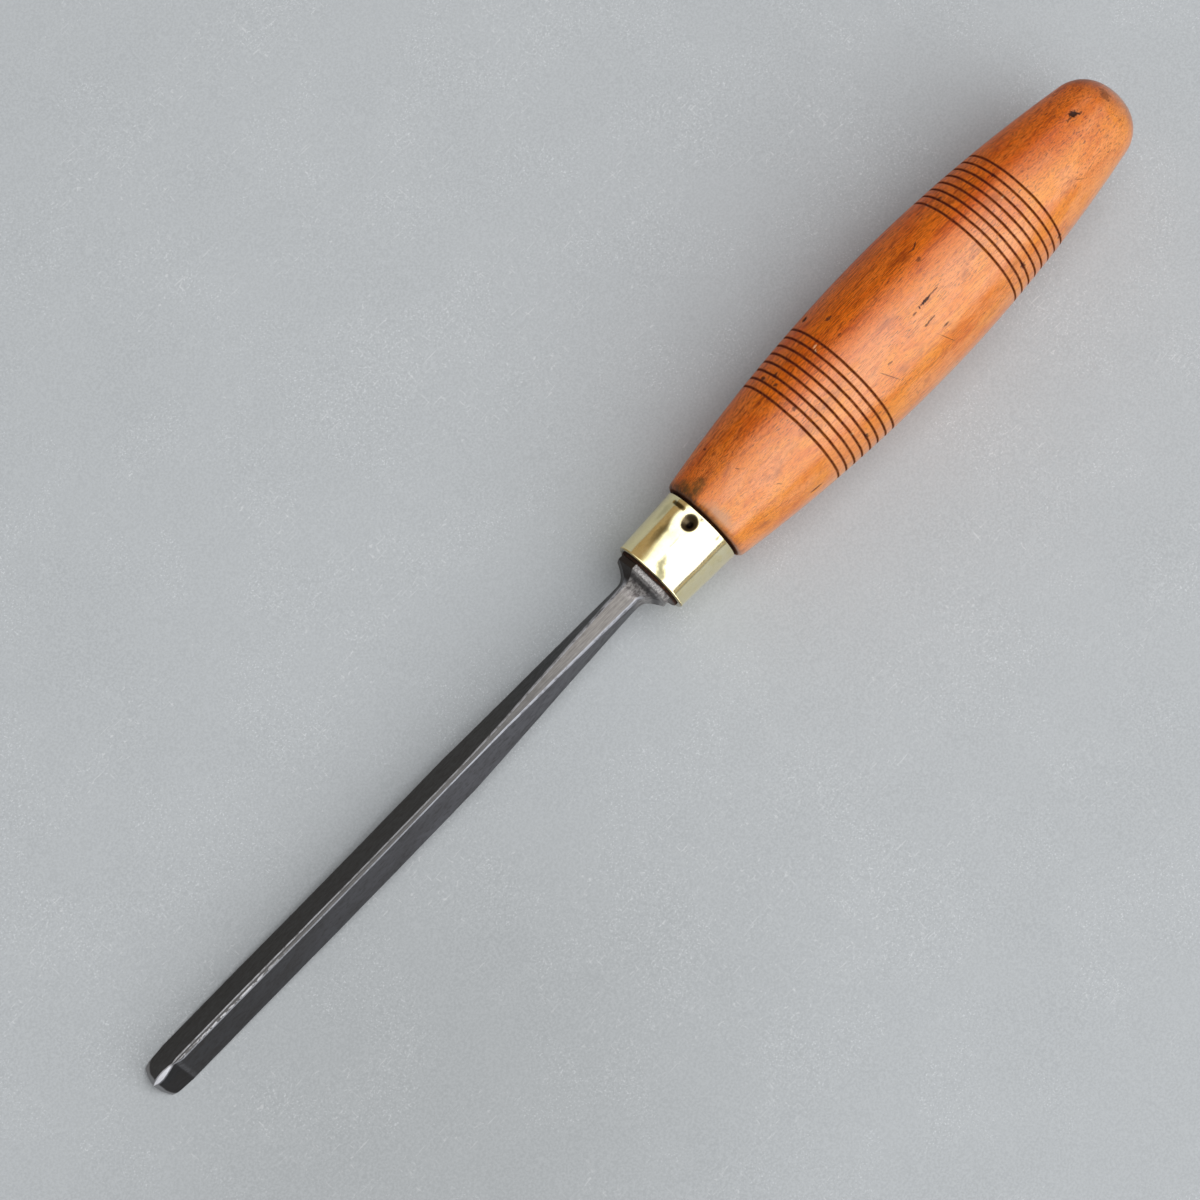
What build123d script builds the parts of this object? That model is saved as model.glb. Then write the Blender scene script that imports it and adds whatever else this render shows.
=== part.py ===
from build123d import *
import os
from math import acos, asin, atan2, cos, degrees, hypot, radians, sin, sqrt, tan

# Carving V-tool: a forged steel blade with its bolster and tang in one piece, a tapered
# brass ferrule and a turned hardwood handle. All sizes are in millimetres.
# The tool is drawn along its own axis, with X running from the cutting edge to the butt and
# the keel of the V up. It is then laid down as it comes to rest on a table: on the corners
# of the two wings and on the swell of the handle.

# Blade: V section
vee_width = 8.5           # across the outside of the wings
vee_angle = 60.0          # between the wings
vee_wall = 1.4            # thickness of each wing
keel_width = 0.98         # flat along the outside of the V
keel_rise = 3.3           # keel above the tool's axis
vee_length = 80.0         # cutting edge to the start of the taper
edge_break = 0.12         # softened corners of the V section

# Blade: bevels ground on the outside of the cutting end
hone_length = 0.9         # short steep bevel at the edge itself
hone_depth = 1.15         # metal left where the steep bevel ends
bevel_length = 6.2        # long shallow bevel on each wing
keel_bevel_length = 5.2   # bevel on the keel
wing_corner_radius = 2.8  # rounded heel of each wing

# Blade: stem between the V and the bolster
stem_length = 45.8
stem_top_width = 4.0
stem_base_width = 5.54
stem_depth = 6.0
stem_edge_break = 0.4
keel_even_length = 12.0   # stretch past the V where the keel flat hardly widens
keel_even_width = 1.32    # keel flat at the end of that stretch
channel_past_vee = 5.0    # full-depth channel past the end of the V
channel_run_out = 28.0    # further stretch in which it rises to nothing

# Blade: bolster, a hand-filed octagon whose top chamfers differ
bolster_width = 12.0
bolster_thickness = 1.25
bolster_chamfer_left = 3.2
bolster_chamfer_right = 2.05
bolster_chamfer_base = 2.7
flare_length = 3.6
flare_power = 2.3         # how late the flare opens out
flare_steps = 6

# Blade: square tang inside the handle
tang_length = 62.0
tang_root_width = 5.6
tang_tip_width = 2.4
blade_aside = 0.55        # the whole blade sits this far towards +Y of the handle's axis

# Ferrule
ferrule_length = 14.25
ferrule_front_diameter = 16.0
ferrule_back_diameter = 17.1
ferrule_wall = 1.0
ferrule_edge_break = 0.25
ferrule_set_back = 0.5    # end grain that stands proud of the ferrule's front
shoulder_gap = 0.4        # ferrule's back to the handle's shoulder

# Punched dimple that pins the ferrule to the wood
dimple_radius = 1.7
dimple_depth = 1.2
dimple_wall = 0.7
dimple_from_back = 2.6
dimple_turn = 10.5        # degrees round from the top, towards +Y

# Handle
belly_diameter = 27.8
shoulder_to_belly = 55.3
belly_to_butt = 59.25
front_arc_radius = 342.0
middle_arc_radius = 230.0
middle_arc_reach = 10.0   # how far behind the belly the middle arc runs
rear_arc_radius = 325.0
butt_dome_inset = 1.6     # how much less than the belly's radius the dome's is
butt_corner_radius = 7.5
shoulder_corner_radius = 1.2

# Burnt rings turned into the handle, in two bands
ring_count = 8
ring_pitch = 2.0
ring_width = 0.42
ring_depth = 0.3
front_band_start = -31.5  # first ring of each band, from the belly
rear_band_start = 16.5

# Fit of the tang in its pocket
tang_clearance = 0.05     # each side
tang_end_gap = 2.0

# Places along the tool's axis
stem_end = vee_length + stem_length
rim_front = stem_end + flare_length
bolster_back = rim_front + bolster_thickness
ferrule_front = bolster_back + ferrule_set_back
ferrule_back = ferrule_front + ferrule_length
shoulder = ferrule_back + shoulder_gap
belly = shoulder + shoulder_to_belly
butt = belly + belly_to_butt

# The dome grows with the barrel, so that the two always meet.
butt_dome_radius = belly_diameter / 2 - butt_dome_inset

# Heights in the V section
half_angle = radians(vee_angle / 2)
vee_height = (vee_width - keel_width) / 2 / tan(half_angle)
wing_base = keel_rise - vee_height
channel_top = keel_rise + keel_width / 2 / tan(half_angle) - vee_wall / sin(half_angle)

# Cutters reach this far past what they cut
reach = 20.0


def ring_face(x, points):
    """Flat face across the tool's axis at x, from (y, z) corners."""
    return make_face(Polyline(*[(x, y, z) for y, z in points], close=True))


def shank_corners(top_width, base_width, top, base, edge):
    """Eight corners of a tapered bar's section, from the top left round over the right."""
    top_half = top_width / 2
    base_half = base_width / 2
    lean = (base_half - top_half) / (top - base)
    upper = top_half + lean * edge
    lower = base_half - lean * edge
    right = [(-top_half + edge, top), (-upper, top - edge),
             (-lower, base + edge), (-base_half + edge, base)]
    left = [(-y, z) for y, z in reversed(right)]
    return right + left


def bolster_corners():
    """Eight corners of the bolster, in the same order as the bar's."""
    half = bolster_width / 2
    return [(-half + bolster_chamfer_right, half), (-half, half - bolster_chamfer_right),
            (-half, -half + bolster_chamfer_base), (-half + bolster_chamfer_base, -half),
            (half - bolster_chamfer_base, -half), (half, -half + bolster_chamfer_base),
            (half, half - bolster_chamfer_left), (half - bolster_chamfer_left, half)]


def blade_outside():
    """V, stem, flare and bolster as one run of eight-cornered sections."""
    vee = shank_corners(keel_width, vee_width, keel_rise, wing_base, edge_break)
    stem = shank_corners(stem_top_width, stem_base_width,
                         stem_depth / 2, -stem_depth / 2, stem_edge_break)
    even = keel_even_length / stem_length

    def between(a, b):
        return a + (b - a) * even

    even_section = shank_corners(
        keel_even_width, between(vee_width, stem_base_width),
        between(keel_rise, stem_depth / 2), between(wing_base, -stem_depth / 2),
        between(edge_break, stem_edge_break))
    faces = [ring_face(0, vee), ring_face(vee_length, vee),
             ring_face(vee_length + keel_even_length, even_section)]
    rim = bolster_corners()
    for step in range(flare_steps + 1):
        along = step / flare_steps
        out = along ** flare_power
        points = [(a + (c - a) * out, b + (d - b) * out) for (a, b), (c, d) in zip(stem, rim)]
        faces.append(ring_face(stem_end + along * flare_length, points))
    faces.append(ring_face(bolster_back, rim))
    return loft(faces, ruled=True)


def channel_cutter():
    """V channel under the keel, which rises to nothing in the stem."""
    def triangle(x, top):
        half = (top + reach) * tan(half_angle)
        return ring_face(x, [(0, top), (-half, -reach), (half, -reach)])

    full_end = vee_length + channel_past_vee
    return loft([triangle(-reach, channel_top), triangle(full_end, channel_top),
                 triangle(full_end + channel_run_out, wing_base)], ruled=True)


def wing_bevel_cutter(side):
    """Steep and shallow bevel on one wing. Depth is measured from the channel's face."""
    steepness = hone_depth / hone_length
    profile = [(-reach, -reach * steepness), (hone_length, hone_depth), (bevel_length, vee_wall),
               (bevel_length, reach), (-reach, reach)]
    normal = Vector(0, side * cos(half_angle), sin(half_angle))
    face_plane = Plane(origin=(0, 0, channel_top), x_dir=(1, 0, 0),
                       z_dir=Vector(1, 0, 0).cross(normal))
    return extrude(face_plane * make_face(Polyline(*profile, close=True)), reach, both=True)


def keel_bevel_cutter():
    """Bevel that brings the keel down to the channel at the cutting edge."""
    slope = (keel_rise - channel_top) / keel_bevel_length
    profile = [(-reach, channel_top - reach * slope), (keel_bevel_length, keel_rise),
               (keel_bevel_length, reach), (-reach, reach)]
    return extrude(Plane.XZ * make_face(Polyline(*profile, close=True)), reach, both=True)


def wing_corner_cutter():
    """What the rounded heels of the wings leave off."""
    size = wing_corner_radius
    block = Pos(size / 2, 0, wing_base + size / 2) * Box(size, reach, size)
    return block - Pos(size, 0, wing_base + size) * Rot(90, 0, 0) * Cylinder(size, 2 * reach)


def square_taper(start, length, start_width, end_width):
    """Four-sided taper along the tool's axis."""
    ends = []
    for x, width in ((start, start_width), (start + length, end_width)):
        half = width / 2
        ends.append(ring_face(x, [(half, half), (-half, half), (-half, -half), (half, -half)]))
    return loft(ends, ruled=True)


def make_blade():
    """Forged blade with bolster and tang."""
    blade = blade_outside() - channel_cutter() - keel_bevel_cutter() - wing_corner_cutter()
    blade = blade - wing_bevel_cutter(1) - wing_bevel_cutter(-1)
    blade = blade + square_taper(bolster_back, tang_length, tang_root_width, tang_tip_width)
    return Pos(0, blade_aside, 0) * blade


def ferrule_radius(x):
    """Outside radius of the ferrule's cone at x."""
    share = (x - ferrule_front) / ferrule_length
    return (ferrule_front_diameter + (ferrule_back_diameter - ferrule_front_diameter) * share) / 2


def turned(*edges):
    """Solid of revolution about the tool's axis, from edges drawn in (x, 0, radius)."""
    return revolve(make_face(Curve() + list(edges)), Axis.X)


def cone(start, end, start_radius, end_radius):
    """Cone frustum along the tool's axis."""
    return turned(Polyline((start, 0, 0), (start, 0, start_radius), (end, 0, end_radius),
                           (end, 0, 0), close=True))


def dimple_ball(radius):
    """Ball at the punch's place, which sinks into the ferrule by the dimple's depth."""
    x = ferrule_back - dimple_from_back
    centre = ferrule_radius(x) + dimple_radius - dimple_depth
    turn = radians(dimple_turn)
    return Pos(x, centre * sin(turn), centre * cos(turn)) * Sphere(radius)


def make_spigot():
    """Tapered front of the handle, which fills the ferrule and takes its dimple."""
    spigot = cone(bolster_back, shoulder, ferrule_radius(bolster_back) - ferrule_wall,
                  ferrule_radius(shoulder) - ferrule_wall)
    return spigot - dimple_ball(dimple_radius + dimple_wall)


def make_ferrule():
    """Tapered tube, punched in at one place."""
    outside = cone(ferrule_front, ferrule_back, ferrule_radius(ferrule_front),
                   ferrule_radius(ferrule_back))
    outside = chamfer(round_edges(outside), ferrule_edge_break)
    return outside - make_spigot() - dimple_ball(dimple_radius)


def arc_drop(radius, distance):
    """How far an arc has fallen at this distance from its top."""
    return radius - sqrt(radius ** 2 - distance ** 2)


# The rear arc leaves the middle arc without a kink, so its centre lies on the same normal.
middle_end_angle = asin(middle_arc_reach / middle_arc_radius)
middle_end_radius = belly_diameter / 2 - arc_drop(middle_arc_radius, middle_arc_reach)
rear_centre_x = belly + middle_arc_reach - rear_arc_radius * sin(middle_end_angle)
rear_centre_r = middle_end_radius - rear_arc_radius * cos(middle_end_angle)


def handle_radius(x):
    """Radius of the handle's three long arcs at x."""
    if x <= belly:
        return belly_diameter / 2 - arc_drop(front_arc_radius, belly - x)
    if x <= belly + middle_arc_reach:
        return belly_diameter / 2 - arc_drop(middle_arc_radius, x - belly)
    return rear_centre_r + sqrt(rear_arc_radius ** 2 - (x - rear_centre_x) ** 2)


def dome_corner():
    """Where the rear arc meets the butt's dome, as (x, radius)."""
    dome_x = butt - butt_dome_radius
    apart = hypot(dome_x - rear_centre_x, -rear_centre_r)
    along = (rear_arc_radius ** 2 - butt_dome_radius ** 2 + apart ** 2) / 2 / apart
    aside = sqrt(rear_arc_radius ** 2 - along ** 2)
    unit_x = (dome_x - rear_centre_x) / apart
    unit_r = -rear_centre_r / apart
    return (rear_centre_x + along * unit_x + aside * unit_r,
            rear_centre_r + along * unit_r - aside * unit_x)


def handle_arc(start, end):
    """One of the long arcs, between two places along the axis."""
    middle = (start + end) / 2
    return ThreePointArc(*[(x, 0, handle_radius(x)) for x in (start, middle, end)])


def ring_cutter(x):
    """V groove round the handle."""
    bottom = handle_radius(x) - ring_depth
    wide = ring_width
    high = 2 * ring_depth
    return turned(Polyline((x, 0, bottom), (x - wide, 0, bottom + high),
                           (x + wide, 0, bottom + high), close=True))


def round_edges(solid):
    """Full circles among a turned solid's edges, from front to back."""
    return solid.edges().filter_by(lambda edge: edge.is_closed).sort_by(Axis.X)


def make_handle():
    """Turned handle with its spigot, tang pocket and rings."""
    corner_x, corner_radius = dome_corner()
    dome_angle = atan2(corner_radius, corner_x - (butt - butt_dome_radius)) / 2
    dome_middle = (butt - butt_dome_radius * (1 - cos(dome_angle)), 0,
                   butt_dome_radius * sin(dome_angle))
    barrel = turned(
        Line((shoulder, 0, 0), (shoulder, 0, handle_radius(shoulder))),
        handle_arc(shoulder, belly),
        handle_arc(belly, belly + middle_arc_reach),
        handle_arc(belly + middle_arc_reach, corner_x),
        ThreePointArc((corner_x, 0, corner_radius), dome_middle, (butt, 0, 0)),
        Line((butt, 0, 0), (shoulder, 0, 0)))
    barrel = fillet(round_edges(barrel)[0], shoulder_corner_radius)
    barrel = fillet(round_edges(barrel)[-1], butt_corner_radius)
    for band_start in (front_band_start, rear_band_start):
        for ring in range(ring_count):
            barrel = barrel - ring_cutter(belly + band_start + ring * ring_pitch)
    pocket = square_taper(bolster_back, tang_length + tang_end_gap,
                          tang_root_width + 2 * tang_clearance,
                          tang_tip_width + 2 * tang_clearance)
    return barrel + make_spigot() - Pos(0, blade_aside, 0) * pocket


def resting_place():
    """Turn and shift that lay the tool on its wing corners and the handle's swell."""
    # Both rest on arcs: the heel of a wing and the front arc of the handle. A level surface
    # touches both when their lowest points are equally low.
    heel_x = wing_corner_radius
    heel_z = wing_base + wing_corner_radius
    swell_z = front_arc_radius - belly_diameter / 2
    run = belly - heel_x
    rise = swell_z - heel_z
    tilt = atan2(run, rise) - acos((front_arc_radius - wing_corner_radius) / hypot(run, rise))
    lift = wing_corner_radius - heel_x * sin(tilt) - heel_z * cos(tilt)
    # The origin is under the middle of the tool's length.
    front = -channel_top * sin(tilt)
    back = (butt - butt_dome_radius) * cos(tilt) + butt_dome_radius
    return Pos(-(front + back) / 2, 0, lift) * Rot(0, -degrees(tilt), 0)


def main():
    pieces = {"blade": make_blade(), "ferrule": make_ferrule(), "handle": make_handle()}
    place = resting_place()
    os.makedirs("parts", exist_ok=True)
    for name, piece in pieces.items():
        export_step(place * piece, f"parts/{name}.step")


main()
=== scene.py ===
from math import acos, asin, atan2, cos, exp, hypot, pi, radians, sin, sqrt, tan

import bpy
from mathutils import Matrix, Vector, noise


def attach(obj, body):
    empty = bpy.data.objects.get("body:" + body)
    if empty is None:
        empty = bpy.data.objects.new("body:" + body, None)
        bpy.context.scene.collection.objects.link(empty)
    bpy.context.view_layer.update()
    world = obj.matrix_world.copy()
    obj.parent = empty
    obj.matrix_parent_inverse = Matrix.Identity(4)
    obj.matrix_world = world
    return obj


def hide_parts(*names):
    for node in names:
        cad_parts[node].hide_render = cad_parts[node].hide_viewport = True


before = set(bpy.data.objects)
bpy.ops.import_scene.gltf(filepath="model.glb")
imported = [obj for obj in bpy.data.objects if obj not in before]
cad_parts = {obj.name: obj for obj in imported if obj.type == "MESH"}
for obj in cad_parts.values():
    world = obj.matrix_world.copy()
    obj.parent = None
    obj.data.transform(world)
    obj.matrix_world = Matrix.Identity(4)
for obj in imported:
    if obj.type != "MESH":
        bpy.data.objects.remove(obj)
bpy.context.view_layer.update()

# Carving V-tool lying on a pale table, seen from above. Sizes are in millimetres along the
# tool's own axis, X from the cutting edge to the butt, Y across, Z up with the keel of the V.
# to_row() lays them on the table, in metres.

MM = 0.001

# Blade
VEE_WIDTH = 8.5
HALF_ANGLE = radians(30)
VEE_WALL = 1.4
KEEL_WIDTH = 0.98
KEEL_RISE = 3.3
VEE_LENGTH = 80.0
EDGE_BREAK = 0.12
HONE_LENGTH = 0.9
HONE_DEPTH = 1.15
BEVEL_LENGTH = 6.2
WING_CORNER_RADIUS = 2.8
STEM_LENGTH = 45.8
STEM_TOP_WIDTH = 4.0
STEM_BASE_WIDTH = 5.54
STEM_DEPTH = 6.0
STEM_EDGE_BREAK = 0.4
KEEL_EVEN_LENGTH = 12.0
KEEL_EVEN_WIDTH = 1.32
CHANNEL_PAST_VEE = 5.0
CHANNEL_RUN_OUT = 28.0
BOLSTER_WIDTH = 12.0
BOLSTER_THICKNESS = 1.25
BOLSTER_CHAMFER_LEFT = 3.2
BOLSTER_CHAMFER_RIGHT = 2.05
BOLSTER_CHAMFER_BASE = 2.7
FLARE_LENGTH = 3.6
FLARE_POWER = 2.3
TANG_LENGTH = 62.0
TANG_ROOT_WIDTH = 5.6
TANG_TIP_WIDTH = 2.4
POCKET_CLEARANCE = 0.05
POCKET_PAST_TANG = 2.0
BLADE_ASIDE = 0.55

# Ferrule
FERRULE_LENGTH = 14.25
FERRULE_FRONT_RADIUS = 8.0
FERRULE_BACK_RADIUS = 8.55
FERRULE_WALL = 1.0
FERRULE_RIM = 0.3         # radius of its rounded rims
FERRULE_SET_BACK = 0.5
SHOULDER_GAP = 0.4
DIMPLE_RADIUS = 1.7
DIMPLE_DEPTH = 1.2
DIMPLE_WALL = 0.7
DIMPLE_FROM_BACK = 2.6
DIMPLE_TURN = radians(10.5)

# Handle
BELLY_RADIUS = 13.9
SHOULDER_TO_BELLY = 55.3
BELLY_TO_BUTT = 59.25
FRONT_ARC_RADIUS = 342.0
MIDDLE_ARC_RADIUS = 230.0
MIDDLE_ARC_REACH = 10.0
REAR_ARC_RADIUS = 325.0
BUTT_DOME_RADIUS = 12.3
BUTT_CORNER_RADIUS = 7.5
SHOULDER_CORNER_RADIUS = 1.2
RING_COUNT = 8
RING_PITCH = 2.0
RING_WIDTH = 0.42
RING_DEPTH = 0.3
BAND_STARTS = (-31.5, 16.5)

# Places along the axis
STEM_END = VEE_LENGTH + STEM_LENGTH
RIM_FRONT = STEM_END + FLARE_LENGTH
BOLSTER_BACK = RIM_FRONT + BOLSTER_THICKNESS
FERRULE_FRONT = BOLSTER_BACK + FERRULE_SET_BACK
FERRULE_BACK = FERRULE_FRONT + FERRULE_LENGTH
DIMPLE_X = FERRULE_BACK - DIMPLE_FROM_BACK
SHOULDER = FERRULE_BACK + SHOULDER_GAP
BELLY = SHOULDER + SHOULDER_TO_BELLY
BUTT = BELLY + BELLY_TO_BUTT

# Heights in the V section
VEE_HEIGHT = (VEE_WIDTH - KEEL_WIDTH) / 2 / tan(HALF_ANGLE)
WING_BASE = KEEL_RISE - VEE_HEIGHT
VEE_APEX = KEEL_RISE + KEEL_WIDTH / 2 / tan(HALF_ANGLE)
CHANNEL_TOP = VEE_APEX - VEE_WALL / sin(HALF_ANGLE)

# How far the handle's uneven skin sinks at most, and how far its spigot stays off the bore.
SKIN = 0.02


def clamp(value, low=0.0, high=1.0):
    return max(low, min(high, value))


def smooth(low, high, value):
    """0 below low, 1 above high and an even curve between them."""
    t = clamp((value - low) / (high - low))
    return t * t * (3 - 2 * t)


def mix(a, b, share):
    return a + (b - a) * share


def on_round(x, radius, angle):
    """Point this far from the axis and this far round it, from the top towards +Y."""
    return (x, radius * sin(angle), radius * cos(angle))


def turn_from(centre, angle):
    """How far round the angle is from the centre, between -pi and pi."""
    return (angle - centre + pi) % (2 * pi) - pi


def swing(first, second, angle):
    """Two lengths or axes at right angles, turned towards each other's place by this angle."""
    return first * cos(angle) + second * sin(angle), second * cos(angle) - first * sin(angle)


# How the tool lies: on the heels of the wings and the front arc of the handle.
HEEL_Z = WING_BASE + WING_CORNER_RADIUS
RUN = BELLY - WING_CORNER_RADIUS
RISE = FRONT_ARC_RADIUS - BELLY_RADIUS - HEEL_Z
TILT = atan2(RUN, RISE) - acos((FRONT_ARC_RADIUS - WING_CORNER_RADIUS) / hypot(RUN, RISE))
LIFT = WING_CORNER_RADIUS - WING_CORNER_RADIUS * sin(TILT) - HEEL_Z * cos(TILT)
FRONT_END = -CHANNEL_TOP * sin(TILT)
BACK_END = (BUTT - BUTT_DOME_RADIUS) * cos(TILT) + BUTT_DOME_RADIUS
LAY = (Matrix.Scale(MM, 4) @ Matrix.Translation((-(FRONT_END + BACK_END) / 2, 0, LIFT))
       @ Matrix.Rotation(-TILT, 4, "Y"))


def to_row(point):
    """Tool's own axes, in millimetres, to the row frame in metres."""
    return LAY @ Vector(point)


def unevenness(point, size):
    """Soft noise from 0 to 1, with features of about this size in millimetres."""
    return 0.5 + 0.5 * clamp(noise.noise(Vector(point) / size), -1, 1)


def link(name, data):
    """New object in the scene that holds this data."""
    made = bpy.data.objects.new(name, data)
    bpy.context.scene.collection.objects.link(made)
    return made


def wall_faces(rings, closed=False):
    """Faces from each ring to the next, and from the last to the first if it is closed."""
    count = len(rings[0])
    faces = []
    for i in range(len(rings) if closed else len(rings) - 1):
        a, b = i * count, (i + 1) % len(rings) * count
        for j in range(count):
            k = (j + 1) % count
            faces.append((a + j, a + k, b + k, b + j))
    return faces


def make_piece(name, points, faces, masks):
    """Smooth mesh. masks holds named values per point, and 0 stands for those left out."""
    mesh = bpy.data.meshes.new(name)
    mesh.from_pydata([to_row(p) for p in points], [], faces)
    for mask, values in masks.items():
        layer = mesh.attributes.new(mask, "FLOAT", "POINT")
        layer.data.foreach_set("value", [*values] + [0.0] * (len(points) - len(values)))
    mesh.validate()
    mesh.polygons.foreach_set("use_smooth", [True] * len(mesh.polygons))
    return link(name, mesh)


def ring_piece(name, rings, masks, start=None, end=None):
    """Closed piece through rings of equal count. start and end are the points that close it.
    Without them the last ring runs on into the first."""
    points = [p for ring in rings for p in ring]
    faces = wall_faces(rings, start is None)
    if start is not None:
        count = len(rings[0])
        last, first_tip, last_tip = len(points) - count, len(points), len(points) + 1
        points += [start, end]
        for j in range(count):
            k = (j + 1) % count
            faces += [(first_tip, k, j), (last_tip, last + j, last + k)]
    return make_piece(name, points, faces, masks)


def turn_outward(piece):
    """Makes the faces point out of the solid."""
    mesh = piece.data
    volume = 0.0
    for face in mesh.polygons:
        first = mesh.vertices[face.vertices[0]].co
        for a, b in zip(face.vertices[1:-1], face.vertices[2:]):
            volume += first.dot(mesh.vertices[a].co.cross(mesh.vertices[b].co))
    if volume < 0:
        mesh.flip_normals()


def square_radius(half, angle):
    """Distance from the centre of a square to its side, in this direction."""
    return half / max(abs(cos(angle)), abs(sin(angle)))


# Handle

HANDLE_TURNS = 264


def arc_drop(radius, distance):
    return radius - sqrt(radius ** 2 - distance ** 2)


MIDDLE_END_ANGLE = asin(MIDDLE_ARC_REACH / MIDDLE_ARC_RADIUS)
MIDDLE_END_RADIUS = BELLY_RADIUS - arc_drop(MIDDLE_ARC_RADIUS, MIDDLE_ARC_REACH)
REAR_CENTRE = (BELLY + MIDDLE_ARC_REACH - REAR_ARC_RADIUS * sin(MIDDLE_END_ANGLE),
               MIDDLE_END_RADIUS - REAR_ARC_RADIUS * cos(MIDDLE_END_ANGLE))
DOME_CENTRE = (BUTT - BUTT_DOME_RADIUS, 0.0)


def barrel_radius(x):
    """Radius of the handle's three long arcs."""
    if x <= BELLY:
        return BELLY_RADIUS - arc_drop(FRONT_ARC_RADIUS, BELLY - x)
    if x <= BELLY + MIDDLE_ARC_REACH:
        return BELLY_RADIUS - arc_drop(MIDDLE_ARC_RADIUS, x - BELLY)
    return REAR_CENTRE[1] + sqrt(REAR_ARC_RADIUS ** 2 - (x - REAR_CENTRE[0]) ** 2)


def far_meeting(first, first_radius, second, second_radius):
    """Where two circles meet, at the greater x."""
    apart = hypot(second[0] - first[0], second[1] - first[1])
    along = (first_radius ** 2 - second_radius ** 2 + apart ** 2) / 2 / apart
    aside = sqrt(first_radius ** 2 - along ** 2)
    ux = (second[0] - first[0]) / apart
    ur = (second[1] - first[1]) / apart
    return (first[0] + along * ux + aside * ur, first[1] + along * ur - aside * ux)


def arc_points(centre, radius, start, end, steps):
    """Points of an arc from one angle to another, both ends included."""
    angles = [mix(start, end, i / steps) for i in range(steps + 1)]
    return [(centre[0] + radius * cos(a), centre[1] + radius * sin(a)) for a in angles]


def butt_outline():
    """Corner arc and dome of the butt, as (x, radius) from the side to just short of the axis."""
    centre = far_meeting(REAR_CENTRE, REAR_ARC_RADIUS - BUTT_CORNER_RADIUS,
                         DOME_CENTRE, BUTT_DOME_RADIUS - BUTT_CORNER_RADIUS)
    side = atan2(centre[1] - REAR_CENTRE[1], centre[0] - REAR_CENTRE[0])
    front = atan2(centre[1] - DOME_CENTRE[1], centre[0] - DOME_CENTRE[0])
    dome = arc_points(DOME_CENTRE, BUTT_DOME_RADIUS, front, 0.0, 24)
    return arc_points(centre, BUTT_CORNER_RADIUS, side, front, 12), dome[1:-1]


def shoulder_outline():
    """Rounded edge between the shoulder's face and the front arc, as (x, radius)."""
    radius = SHOULDER_CORNER_RADIUS
    arc_centre = BELLY_RADIUS - FRONT_ARC_RADIUS
    x = SHOULDER + radius
    r = arc_centre + sqrt((FRONT_ARC_RADIUS - radius) ** 2 - (BELLY - x) ** 2)
    return arc_points((x, r), radius, pi, atan2(r - arc_centre, x - BELLY), 8)


RINGS = [BELLY + start + i * RING_PITCH for start in BAND_STARTS for i in range(RING_COUNT)]
RING_SHAPE = (-0.95, -0.62, -0.4, -0.2, 0.0, 0.2, 0.4, 0.62, 0.95)     # in ring widths
BARREL_STEP = 0.6


def barrel_places(start, end):
    """Places along the barrel: even steps, and close ones across each ring."""
    places = [x + share * RING_WIDTH for x in RINGS for share in RING_SHAPE]
    x = start + BARREL_STEP / 2
    while x < end - BARREL_STEP / 2:
        if min(abs(x - ring) for ring in RINGS) > RING_WIDTH:
            places.append(x)
        x += BARREL_STEP
    return sorted(places)


def ring_depth(x, angle):
    """Depth of the nearest burnt ring here, and how charred it is. Both vary round it."""
    nearest = min(RINGS, key=lambda ring: abs(x - ring))
    number = RINGS.index(nearest)
    if abs(x - nearest) > RING_WIDTH:
        return 0.0, 0.0
    around = Vector((2.2 * cos(angle), 2.2 * sin(angle), 3.7 * number))
    strength = 0.82 + 0.18 * noise.noise(around)
    wander = 0.05 * noise.noise(around * 1.7 + Vector((9, 0, 0)))
    off = abs(x - nearest + wander) / (RING_WIDTH / 2)
    return RING_DEPTH * strength * (1 - smooth(0.15, 1.1, off)), 1 - smooth(0.6, 1.9, off)


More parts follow.
